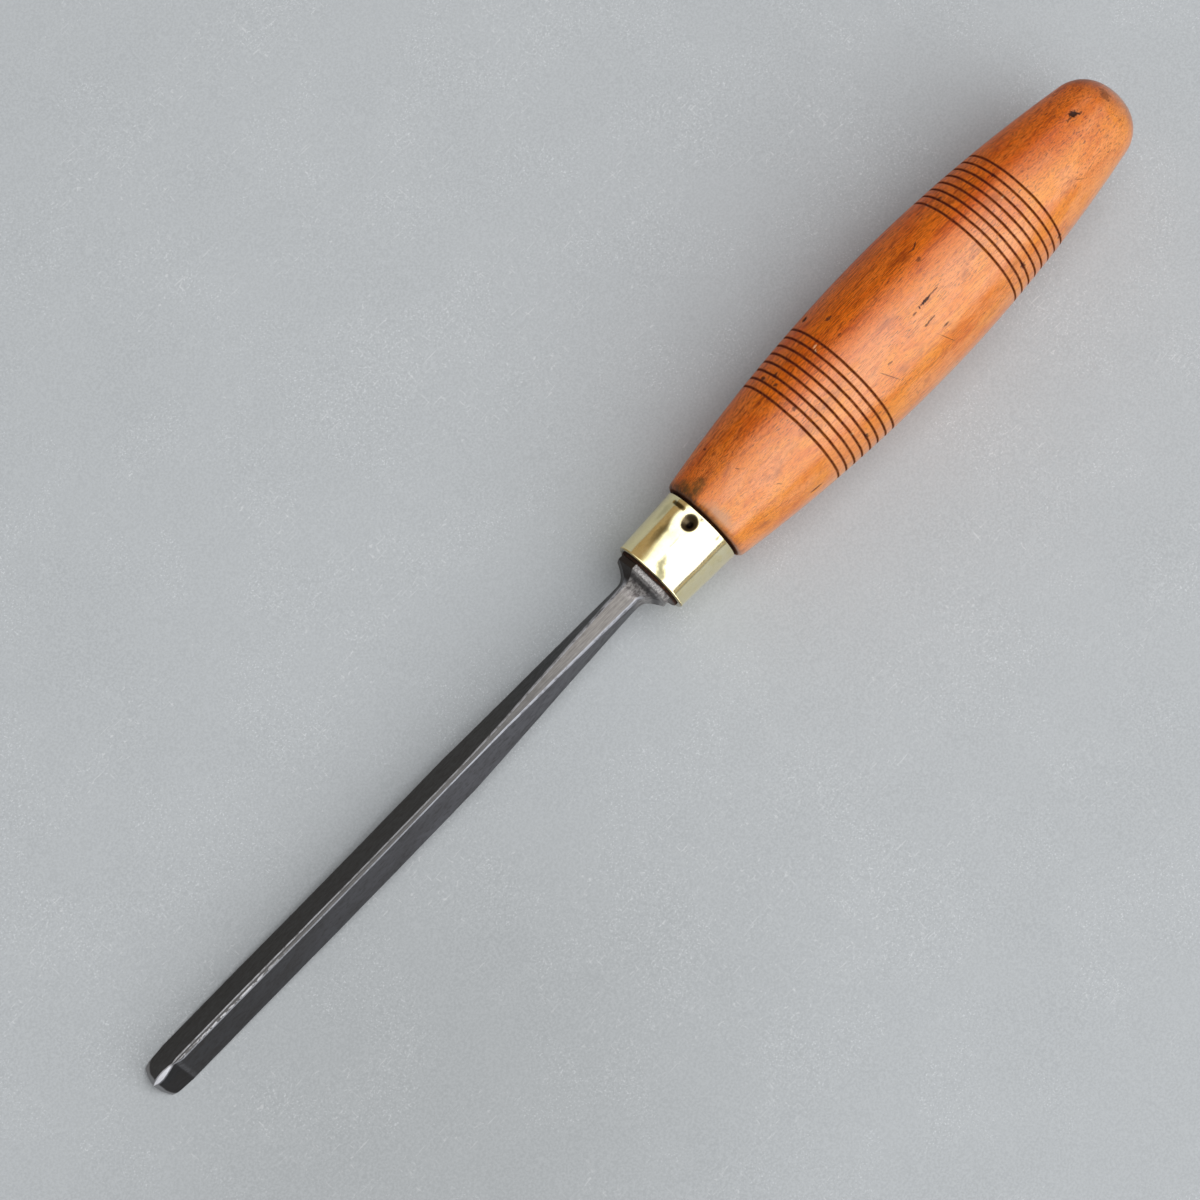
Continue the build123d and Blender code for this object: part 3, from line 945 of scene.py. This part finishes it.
def wood_material():
    """Varnished beech: golden and pink figure, streaks, dark flecks, char, stains, marks and
    painted shade.
    """
    s = Shader("varnished_beech")
    x, y, _ = s.axes()

    # Golden ground, pinker in clouds, with brown streaks and fine grain
    figure = s.noise(0.07, 0.15, detail=4, rough=0.6, bend=0.5)
    tint = s.noise(0.08, 0.24, (5, 2, 8), detail=4, rough=0.6)
    streak = s.noise(0.12, 1.5, (7, 0, 0), detail=4, rough=0.6)
    fine = s.noise(0.4, 6.0, (0, 5, 0), detail=3, rough=0.62)
    s.colour = s.blend(s.band(figure, 0.36, 0.64), tone(229, 123, 24), tone(244, 150, 38))
    s.paint(s.band(tint, 0.43, 0.60, 0.0, 0.7), tone(244, 156, 90))
    s.paint(s.band(streak, 0.48, 0.68, 0.0, 0.42), tone(200, 88, 14))
    s.paint(s.band(fine, 0.5, 0.72, 0.0, 0.6), tone(152, 58, 10))
    s.paint(s.band(fine, 0.48, 0.3, 0.0, 0.4), tone(244, 156, 66))

    # Dark flecks, crowded towards +Y and the butt, then pores and stains
    crowd = s.noise(0.05, 0.14, (1, 4, 2), detail=3)
    crowd = s.plus(crowd, s.band(y, -12, 12, -0.05, 0.07))
    crowd = s.plus(crowd, s.band(x, 225, 255, 0.0, 0.08))
    crowd = s.plus(crowd, s.band(x, 176, 190, -0.04, 0.03))
    fleck = s.noise(0.7, 5.5, (3, 1, 9))
    flecks = s.times(s.band(fleck, 0.58, 0.68), s.band(crowd, 0.42, 0.6))
    s.paint(s.times(flecks, 0.8), tone(92, 36, 12))
    pore = s.noise(1.1, 9.0, (6, 2, 4), detail=3, rough=0.65)
    s.paint(s.band(pore, 0.53, 0.68, 0.0, 0.65), tone(146, 60, 20))
    s.paint(s.band(pore, 0.44, 0.30, 0.0, 0.4), tone(252, 172, 84))
    stain = s.noise(0.12, 0.22, (4, 7, 1), detail=4, rough=0.6)
    s.paint(s.band(stain, 0.56, 0.74, 0.0, 0.45), tone(140, 66, 26))

    # Painted shade: darker on the side away from the light, in the colour and in its grain
    side = s.times(s.band(y, -4.0, 7.2), s.band(x, 145, 180, 0.7, 1.0))
    s.paint(side, (0.94, 0.58, 0.18), "MULTIPLY")
    deep = s.math("MAXIMUM", s.band(fine, 0.5, 0.62), s.band(streak, 0.54, 0.68))
    deep = s.times(deep, s.band(y, 1.0, 8.0, 0.0, 0.6))
    s.paint(deep, tone(108, 42, 8))

    # Knocks and cracks, and paler chips where the strength is below 0
    mark = s.node("Attribute", {}, attribute_name="mark").outputs["Vector"]
    along, around, strength = s.node("SeparateXYZ", {0: mark}).outputs
    away = s.math("SQRT", s.plus(s.math("POWER", along, 2.0), s.math("POWER", around, 2.0)))
    ragged = s.noise(2.5, 2.5, (8, 3, 1))
    away = s.plus(away, s.band(ragged, 0.3, 0.7, -0.25, 0.25))
    mark = s.band(away, 0.6, 1.15, 1.0, 0.0)
    dark = s.times(mark, s.math("MAXIMUM", strength, 0.0), limit=True)
    chip = s.times(mark, s.times(strength, -1.9), limit=True)
    s.paint(chip, tone(240, 190, 140))
    s.paint(dark, tone(66, 34, 22))

    # Grime at the shoulder, the darker butt with painted shade on its side away from the light,
    # and pale wear
    smear = s.ragged(0.8, 0.9)
    patch = s.math("MAXIMUM", *[handle_spot(s, smear, place) for place in GRIMY])
    dirt = s.noise(0.8, 1.6, (2, 2, 2), detail=4, rough=0.65)
    patch = s.times(patch, s.band(dirt, 0.35, 0.65, 0.45, 0.92))
    s.paint(patch, tone(84, 62, 26))
    rub = s.times(s.band(x, SHOULDER + 0.3, SHOULDER + 2.2, 0.9, 0.0),
                  s.band(y, -7, 7, 0.35, 1.0), s.band(streak, 0.35, 0.6, 0.3, 1.0))
    s.paint(rub, tone(88, 56, 30))
    butt_dirt_and_shade = s.times(s.band(x, BUTT - 6.0, BUTT - 1.0), s.band(dirt, 0.3, 0.6, 0.2, 0.7))
    s.paint(butt_dirt_and_shade, tone(140, 78, 40))
    # Painted shade: the butt's corner is darker on the side away from the light
    butt_dirt_and_shade = s.times(s.band(x, BUTT - 8.0, BUTT - 2.0), s.band(y, 2.0, 9.0, 0.0, 0.75))
    s.paint(butt_dirt_and_shade, tone(84, 40, 18))
    s.paint(s.times(handle_spot(s, smear, WORN, 0.2), 0.7), tone(186, 134, 96))

    # Burnt rings and painted shade where the wood meets the ferrule, then grime with painted
    # shade in the ferrule and at its edge
    char_and_shade = s.times(s.mask("char_and_shade"), s.band(dirt, 0.3, 0.65, 0.72, 0.98))
    s.paint(char_and_shade, tone(70, 19, 15))
    grime_and_shade = s.times(s.mask("grime_and_shade"), s.band(dirt, 0.3, 0.55, 0.7, 1.0))
    s.paint(grime_and_shade, tone(46, 25, 14))
    s.set("Base Color", s.colour)

    # Varnish, worn off rings and marks, and thin on the side away from the light
    matt = s.math("MAXIMUM", s.mask("char_and_shade"), s.times(dark, 0.7))
    rough = s.band(streak, 0.3, 0.8, 0.32, 0.42)
    s.set("Roughness", s.plus(rough, s.times(matt, 0.5)))
    s.set("Coat Weight", s.times(s.band(matt, 0.0, 1.0, 1.0, 0.0),
                                 s.band(y, 0.0, 7.5, 1.0, 0.0)))
    s.set("Coat Roughness", 0.3)
    s.set("Coat IOR", 1.62)
    s.set("Specular IOR Level", 0.12)
    relief = s.bump(fine, 0.03, 0.45)
    relief = s.bump(flecks, -0.03, 0.4, relief)
    s.set("Normal", s.bump(dark, -0.08, 0.6, relief))
    return s.material


def brass_material():
    """Polished brass with wipe marks and stains, tarnished in the dimple and nick, with a painted
    reflection along its +Y side and painted shade on its rims.
    """
    s = Shader("polished_brass")
    wipe = s.noise(5.0, 0.6, detail=4, rough=0.7)
    cloud = s.noise(0.5, 0.5, (3, 0, 1), detail=3)
    s.colour = s.blend(s.band(cloud, 0.35, 0.7), (0.93, 0.85, 0.57), (0.90, 0.80, 0.48))
    tarnish = s.noise(0.9, 0.9, (6, 2, 3), detail=4, rough=0.6)
    s.paint(s.band(tarnish, 0.56, 0.72, 0.0, 0.3), (0.50, 0.42, 0.24))
    x, y, _ = s.axes()
    # Painted reflection: a darker tan band along the +Y side.
    s.paint(s.band(y, 4.5, 6.5, 0.0, 0.6), (0.80, 0.70, 0.36))
    # Painted shade on the rims, most on the front one.
    rim = s.math("MAXIMUM", s.band(x, FERRULE_FRONT + 0.15, FERRULE_FRONT + 0.4, 0.9, 0.0),
                 s.band(x, FERRULE_BACK - 0.3, FERRULE_BACK - 0.1, 0.0, 0.4))
    s.paint(rim, (0.30, 0.24, 0.12))
    smear = s.ragged(0.9, 0.6)
    for place, degrees_round, length, width, off_axis, strength in STAINS:
        along, angle = FERRULE_FRONT + place, radians(degrees_round)
        stain = s.spot(smear, on_round(along, ferrule_radius(along), angle),
                       (length, width, STAIN_REACH), (-angle, 0, radians(off_axis)), 0.1)
        s.paint(s.times(stain, strength), (0.15, 0.14, 0.08))
    s.paint(s.times(s.mask("scar"), 0.95), (0.06, 0.045, 0.012))
    s.paint(s.times(s.mask("pit"), 0.93), (0.085, 0.055, 0.028))
    s.paint(s.mask("hole"), (0.009, 0.006, 0.004))
    s.set("Base Color", s.colour)
    s.set("Metallic", 1.0)
    s.set("Roughness", s.plus(s.band(wipe, 0.3, 0.8, 0.1, 0.2), s.times(s.mask("pit"), 0.3)))
    s.set("Normal", s.bump(wipe, 0.004, 0.35))
    return s.material


KEEL_LINE_Y = 0.69       # of the keel's middle line at the cutting edge
KEEL_LINE_SLOPE = 0.0063  # by which it comes nearer to the axis


def steel_material():
    """Forged steel: dark skin on the flanks with painted shade on the left one, a rubbed top, a
    ground nose with a painted highlight, and bright edges.
    """
    s = Shader("forged_steel")
    x, y, _ = s.axes()
    scale = s.noise(0.7, 1.6, detail=5, rough=0.62)
    cloud = s.noise(0.1, 0.3, (5, 1, 0), detail=3)
    grit = s.noise(2.2, 6.0, (1, 8, 3), detail=3, rough=0.6)
    filed = s.noise(0.25, 4.5, (4, 0, 6), detail=3, rough=0.6)
    right = s.band(y, 0.2, 1.0, 1.0, 0.0)

    # Flanks and the rusty flare, with painted shade darkening the left flank and the left of the
    # flare, away from the light
    skin_and_shade = s.blend(s.band(x, 5, 95), (0.046, 0.046, 0.050), (0.122, 0.122, 0.136))
    skin_and_shade = s.blend(s.band(x, 5.3, 6.8), (0.019, 0.019, 0.021), skin_and_shade)
    ground = s.times(s.band(x, 5.7, 6.1), s.band(x, 6.3, 7.2, 1.0, 0.0),
                     s.band(grit, 0.3, 0.6, 0.2, 0.8))
    skin_and_shade = s.blend(ground, skin_and_shade, (0.13, 0.13, 0.14))
    # Painted shade: the left flank, away from the light, is darker, and browner at the flare.
    left = s.blend(s.band(x, 85, 110), (0.036, 0.033, 0.031), (0.005, 0.004, 0.004))
    left = s.blend(s.band(x, STEM_END, RIM_FRONT), left, (0.021, 0.012, 0.008))
    skin_and_shade = s.blend(right, left, skin_and_shade)
    skin_and_shade = s.blend(s.band(cloud, 0.35, 0.7, 0.0, 0.35), skin_and_shade, (0.030, 0.025, 0.022))
    skin_and_shade = s.blend(s.band(scale, 0.45, 0.72, 0.0, 0.4), skin_and_shade, (0.022, 0.018, 0.015))
    flare = s.band(x, STEM_END - 1.5, STEM_END + 1.0)
    rust = s.blend(s.band(scale, 0.38, 0.62), (0.14, 0.125, 0.125), (0.42, 0.40, 0.39))
    hollow = s.times(s.band(x, RIM_FRONT - 1.5, RIM_FRONT - 0.9),
                     s.band(x, RIM_FRONT - 0.7, RIM_FRONT - 0.2, 0.8, 0.0))
    rust = s.blend(hollow, rust, (0.035, 0.031, 0.033))
    skin_and_shade = s.blend(s.times(flare, right), skin_and_shade, rust)

    # Top: filed stem, a dark line and bright blotches along the keel, and the ground nose,
    # painted near white and less metallic as a painted highlight
    top = s.blend(s.band(x, 85, 122), (0.105, 0.102, 0.100), (0.235, 0.220, 0.208))
    top = s.blend(s.band(filed, 0.35, 0.65, 0.0, 0.4), top, (0.060, 0.056, 0.054))
    across = s.plus(s.times(x, KEEL_LINE_SLOPE), s.math("SUBTRACT", y, KEEL_LINE_Y))
    line = s.times(s.band(across, 0.0, 0.14), s.band(across, 0.24, 0.36, 1.0, 0.0),
                   s.band(x, 60, 80, 0.7, 0.0))
    top = s.blend(line, top, (0.045, 0.044, 0.046))
    blotch = s.times(s.band(x, 5.2, 6.6), s.band(x, 24, 38, 1.0, 0.0),
                     s.band(scale, 0.44, 0.54), s.band(across, 0.12, -0.05))
    top = s.blend(blotch, top, (0.50, 0.50, 0.52))
    # Painted highlight: the ground nose is near white, and less metallic further down.
    nose_and_highlight = s.band(x, 4.4, 5.6, 1.0, 0.0)
    top = s.blend(nose_and_highlight, top, (0.81, 0.82, 0.87))
    nose_and_highlight = s.times(nose_and_highlight, s.mask("face"))
    top = s.blend(flare, top, rust)
    rim = s.band(x, RIM_FRONT - 0.25, RIM_FRONT)
    chipped = s.blend(s.band(grit, 0.4, 0.6), (0.16, 0.15, 0.15), (0.36, 0.35, 0.345))
    top = s.blend(rim, top, chipped)
    face = s.times(s.mask("face"), s.band(grit, 0.2, 0.5, 0.7, 1.0))
    s.colour = s.blend(face, skin_and_shade, top)
    edge = s.times(s.mask("edge"), s.band(scale, 0.3, 0.55, 0.3, 1.0),
                   s.band(x, RIM_FRONT - 1.5, RIM_FRONT - 3))
    s.paint(edge, (0.52, 0.54, 0.60))
    s.paint(s.times(s.mask("hone"), 0.85), (0.30, 0.30, 0.31))
    s.set("Base Color", s.colour)
    s.set("Metallic", s.math("SUBTRACT", 0.6, s.times(nose_and_highlight, 0.45)))
    s.set("Roughness", s.band(scale, 0.3, 0.7, 0.42, 0.55))
    s.set("Normal", s.bump(grit, 0.012, 0.5, s.bump(scale, 0.05, 0.5)))
    return s.material


# Broad painted shadow beside the tool, in the tool's axes, in millimetres
SHADE_CENTRE = (30, -42, -4)
SHADE_SIZE = (95, 75, 40)


def table_material():
    """Smooth grey board with faint mottling, specks and scratches, and a painted shadow in one
    place.
    """
    s = Shader("grey_board")
    mottle = s.noise(0.05, 0.05, detail=5, rough=0.6)
    sand = s.noise(2.2, 2.2, detail=3, rough=0.7)
    speck = s.noise(1.3, 1.3)
    s.colour = s.blend(s.band(mottle, 0.3, 0.7), tone(177, 181, 184), tone(181, 185, 188))
    s.paint(s.band(sand, 0.35, 0.65), tone(190, 194, 197))
    s.paint(s.band(speck, 0.74, 0.8, 0.0, 0.6), tone(212, 214, 215))
    worn = s.noise(0.03, 0.05, (3, 3, 0))
    for along, across, shift in ((0.3, 3.6, 2), (1.1, 1.6, 9), (2.9, 0.5, 5)):
        scratch = s.noise(along, across, (shift, shift, 0), bend=0.6, up=1.0)
        scratch = s.times(s.band(scratch, 0.66, 0.72), s.band(worn, 0.5, 0.62, 0.0, 0.5))
        s.paint(scratch, tone(218, 220, 222))
    dust = s.noise(3.0, 3.0, (7, 1, 0), detail=1)
    settled = s.noise(0.06, 0.06, (9, 5, 0), detail=3)
    dust = s.times(s.band(dust, 0.62, 0.70), s.band(settled, 0.46, 0.60, 0.0, 0.5))
    s.paint(dust, tone(226, 229, 232))
    # Painted shadow: a broad soft darkening beside the tool
    s.paint(s.spot(s.place(), SHADE_CENTRE, SHADE_SIZE, core=0.1), (0.88, 0.88, 0.875), "MULTIPLY")
    s.set("Base Color", s.colour)
    s.set("Roughness", 0.75)
    s.set("Specular IOR Level", 0.15)
    s.set("Normal", s.bump(sand, 0.03, 0.4))
    return s.material


# Table, light and camera

def plane(name, width, depth):
    mesh = bpy.data.meshes.new(name)
    x, y = width / 2, depth / 2
    mesh.from_pydata([(-x, -y, 0), (x, -y, 0), (x, y, 0), (-x, y, 0)], [], [(0, 1, 2, 3)])
    return link(name, mesh)


TABLE_SIZE = 12.0


def make_table():
    table = plane("table", TABLE_SIZE, TABLE_SIZE)
    table.data.materials.append(table_material())


LIGHT_DISTANCE = 2.0
LIGHT_LEAN = radians(27)       # from straight overhead, towards -Y
LIGHT_ACROSS = radians(46)     # half of what the light spans, across the tool and along it
LIGHT_ALONG = radians(26)
LIGHT_FORWARD = 0.35           # towards the butt
LIGHT_RADIANCE = 2.35
WORLD_RADIANCE = 0.25
CARD_DISTANCE = 1.0
CARD_WIDTH = 2.4
BROWN = (0.40, 0.30, 0.18)
BUFF = (0.62, 0.57, 0.43)
CREAM = (1.3, 1.27, 1.15)
WHITE = (1.9, 1.9, 1.85)
DARK_BROWN = (0.50, 0.42, 0.30)


def make_light():
    """One large soft light, overhead and to the side."""
    lamp = bpy.data.lights.new("overhead", "AREA")
    lamp.shape = "RECTANGLE"
    lamp.size = 2 * LIGHT_DISTANCE * tan(LIGHT_ALONG)
    lamp.size_y = 2 * LIGHT_DISTANCE * tan(LIGHT_ACROSS)
    lamp.energy = LIGHT_RADIANCE * pi * lamp.size * lamp.size_y
    holder = link("overhead", lamp)
    holder.location = (LIGHT_FORWARD, -LIGHT_DISTANCE * sin(LIGHT_LEAN),
                       LIGHT_DISTANCE * cos(LIGHT_LEAN))
    holder.rotation_euler = (LIGHT_LEAN, 0, 0)


def make_card(name, side, steps):
    """Dull upright card beside the tool that gives the metal something to mirror. Its steps
    are elevations, seen from the tool, with the colour at each."""
    heights = [CARD_DISTANCE * tan(elevation) for elevation, _ in steps]
    bottom, top = heights[0], heights[-1]
    card = plane(name, CARD_WIDTH, top - bottom)
    card.rotation_euler = (pi / 2, 0, 0)
    card.location = (0, side * CARD_DISTANCE, (bottom + top) / 2)
    card.visible_camera = False
    card.visible_diffuse = False
    card.visible_shadow = False
    s = Shader(name + "_card")
    place = s.node("SeparateXYZ", {0: s.node("TexCoord", {}).outputs["Generated"]})
    ramp = s.node("ValToRGB", {"Fac": place.outputs["Y"]})
    elements = ramp.color_ramp.elements
    elements[0].color = (*steps[0][1], 1)
    elements[1].color = (*steps[-1][1], 1)
    for tall, (_, colour) in zip(heights[1:-1], steps[1:-1]):
        elements.new((tall - bottom) / (top - bottom)).color = (*colour, 1)
    s.set("Base Color", (0, 0, 0, 1))
    s.set("Specular IOR Level", 0.0)
    s.set("Emission Color", ramp.outputs["Color"])
    s.set("Emission Strength", 1.0)
    card.data.materials.append(s.material)


def make_world():
    world = bpy.data.worlds.new("room")
    bpy.context.scene.world = world
    world.use_nodes = True
    background = world.node_tree.nodes["Background"]
    background.inputs["Color"].default_value = (1.0, 1.0, 1.0, 1)
    background.inputs["Strength"].default_value = WORLD_RADIANCE


CAMERA_FROM_EDGE = 61.12      # along the axis
CAMERA_ABOVE_AXIS = 601.1
CAMERA_ASIDE = 0.17           # towards +Y
CAMERA_ROUND = radians(2.6)   # round the axis, towards -Y
CAMERA_PITCH = radians(5.75)  # turned towards the butt
CAMERA_YAW = radians(-0.351)
CAMERA_SPIN = radians(-0.021)
AXIS_IN_IMAGE = radians(46.03)
CAMERA_LENS = 96.72
CAMERA_SENSOR = 36.0


def make_camera():
    """Looks down on the tool, which runs from lower left to upper right of the frame."""
    along, ahead = swing(Vector((1, 0, 0)), Vector((0, 0, -1)), -CAMERA_PITCH)
    ahead, across = swing(ahead, Vector((0, -1, 0)), CAMERA_YAW)
    along, across = swing(along, across, CAMERA_SPIN)
    right, down = swing(along, across, AXIS_IN_IMAGE)
    turn = Matrix((right, -down, -ahead)).transposed().to_4x4()
    round_axis = Matrix.Rotation(CAMERA_ROUND, 4, "X")
    place = Matrix.Translation((CAMERA_FROM_EDGE, CAMERA_ASIDE, CAMERA_ABOVE_AXIS))
    pose = LAY @ round_axis @ place @ turn
    camera = link("camera", bpy.data.cameras.new("camera"))
    camera.data.lens = CAMERA_LENS
    camera.data.sensor_width = CAMERA_SENSOR
    camera.data.clip_start = 0.01
    camera.location = pose.to_translation()
    camera.rotation_euler = pose.to_3x3().normalized().to_euler()
    bpy.context.scene.camera = camera


def finish_piece(piece, material, node):
    turn_outward(piece)
    piece.data.materials.append(material)
    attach(piece, "root")
    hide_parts(node)


finish_piece(make_handle(), wood_material(), "handle")
finish_piece(make_ferrule(), brass_material(), "ferrule")
finish_piece(make_blade(), steel_material(), "blade")
make_table()
make_light()
make_card("left", 1, ((radians(1), BROWN), (radians(33), BROWN), (radians(40), BUFF),
                      (radians(46), CREAM), (radians(52), WHITE), (radians(71), WHITE)))
make_card("right", -1, ((radians(5), DARK_BROWN), (radians(12), DARK_BROWN)))
make_world()
make_camera()
bpy.context.scene.view_settings.view_transform = "Standard"
